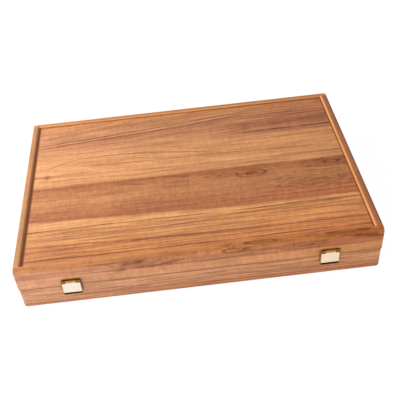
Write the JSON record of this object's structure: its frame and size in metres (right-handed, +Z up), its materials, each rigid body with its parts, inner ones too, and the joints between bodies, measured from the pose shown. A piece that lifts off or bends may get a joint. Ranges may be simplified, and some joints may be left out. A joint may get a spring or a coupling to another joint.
{
  "type": "backgammon board",
  "caption": "Folding wooden backgammon board: two hinged inlaid trays with checker racks, closed by brass snap latches on the front.",
  "frame": {"origin": "under the middle of the closed board, latches and hinge barrels included, on the surface it lies on", "axes": "+X along the long rails, to the right seen from the latches; +Y from the latches to the hinges; +Z up, through the lower and then the upper tray"},
  "size_m": [0.48, 0.322, 0.075],
  "materials": {
    "case_veneer": "satin",
    "panel_veneer": "satin",
    "bead": "satin",
    "field_wood": "satin",
    "dark_inlay": "satin",
    "light_inlay": "satin",
    "hinge_brass": "polished",
    "latch_brass": "polished",
    "lever_face": "satin",
    "spring_steel": "satin",
    "screw_brass": "satin"
  },
  "bodies": {
    "lower_tray": {"lower_front_rail": "case_veneer", "lower_back_rail": "case_veneer", "lower_left_rail": "case_veneer", "lower_right_rail": "case_veneer", "lower_front_bead": "bead", "lower_back_bead": "bead", "lower_left_bead": "bead", "lower_right_bead": "bead", "lower_outer_panel": "panel_veneer", "lower_playing_field": "field_wood", "lower_dark_points": "dark_inlay", "lower_light_points": "light_inlay", "lower_rack_divider": "case_veneer", "lower_rack_partition": "case_veneer", "left_hinge_lower_leaf": "hinge_brass", "left_hinge_pin": "hinge_brass", "right_hinge_lower_leaf": "hinge_brass", "right_hinge_pin": "hinge_brass", "lower_hinge_screws": "screw_brass", "left_latch_keeper": "latch_brass", "right_latch_keeper": "latch_brass", "latch_keeper_nails": "screw_brass"},
    "upper_tray": {"upper_front_rail": "case_veneer", "upper_back_rail": "case_veneer", "upper_left_rail": "case_veneer", "upper_right_rail": "case_veneer", "upper_front_bead": "bead", "upper_back_bead": "bead", "upper_left_bead": "bead", "upper_right_bead": "bead", "upper_outer_panel": "panel_veneer", "upper_playing_field": "field_wood", "upper_dark_points": "dark_inlay", "upper_light_points": "light_inlay", "upper_rack_divider": "case_veneer", "upper_rack_partition": "case_veneer", "left_hinge_upper_leaf": "hinge_brass", "right_hinge_upper_leaf": "hinge_brass", "upper_hinge_screws": "screw_brass", "left_latch_plate": "latch_brass", "left_latch_pin": "latch_brass", "right_latch_plate": "latch_brass", "right_latch_pin": "latch_brass", "latch_plate_nails": "screw_brass"},
    "left_lever": {"left_latch_lever": "lever_face", "left_latch_spring": "spring_steel"},
    "right_lever": {"right_latch_lever": "lever_face", "right_latch_spring": "spring_steel"}
  },
  "joints": [
    {"name": "case_hinge", "type": "hinge", "parent": "lower_tray", "child": "upper_tray", "pos_m": [0, 0.1585, 0.0375], "axis": [-1, 0, 0], "range_deg": [0, 180]},
    {"name": "left_latch_pivot", "type": "hinge", "parent": "upper_tray", "child": "left_lever", "pos_m": [-0.17, -0.1592, 0.0487], "axis": [-1, 0, 0], "range_deg": [0, 150], "deforming": ["left_latch_spring"]},
    {"name": "right_latch_pivot", "type": "hinge", "parent": "upper_tray", "child": "right_lever", "pos_m": [0.17, -0.1592, 0.0487], "axis": [-1, 0, 0], "range_deg": [0, 150], "deforming": ["right_latch_spring"]}
  ]
}
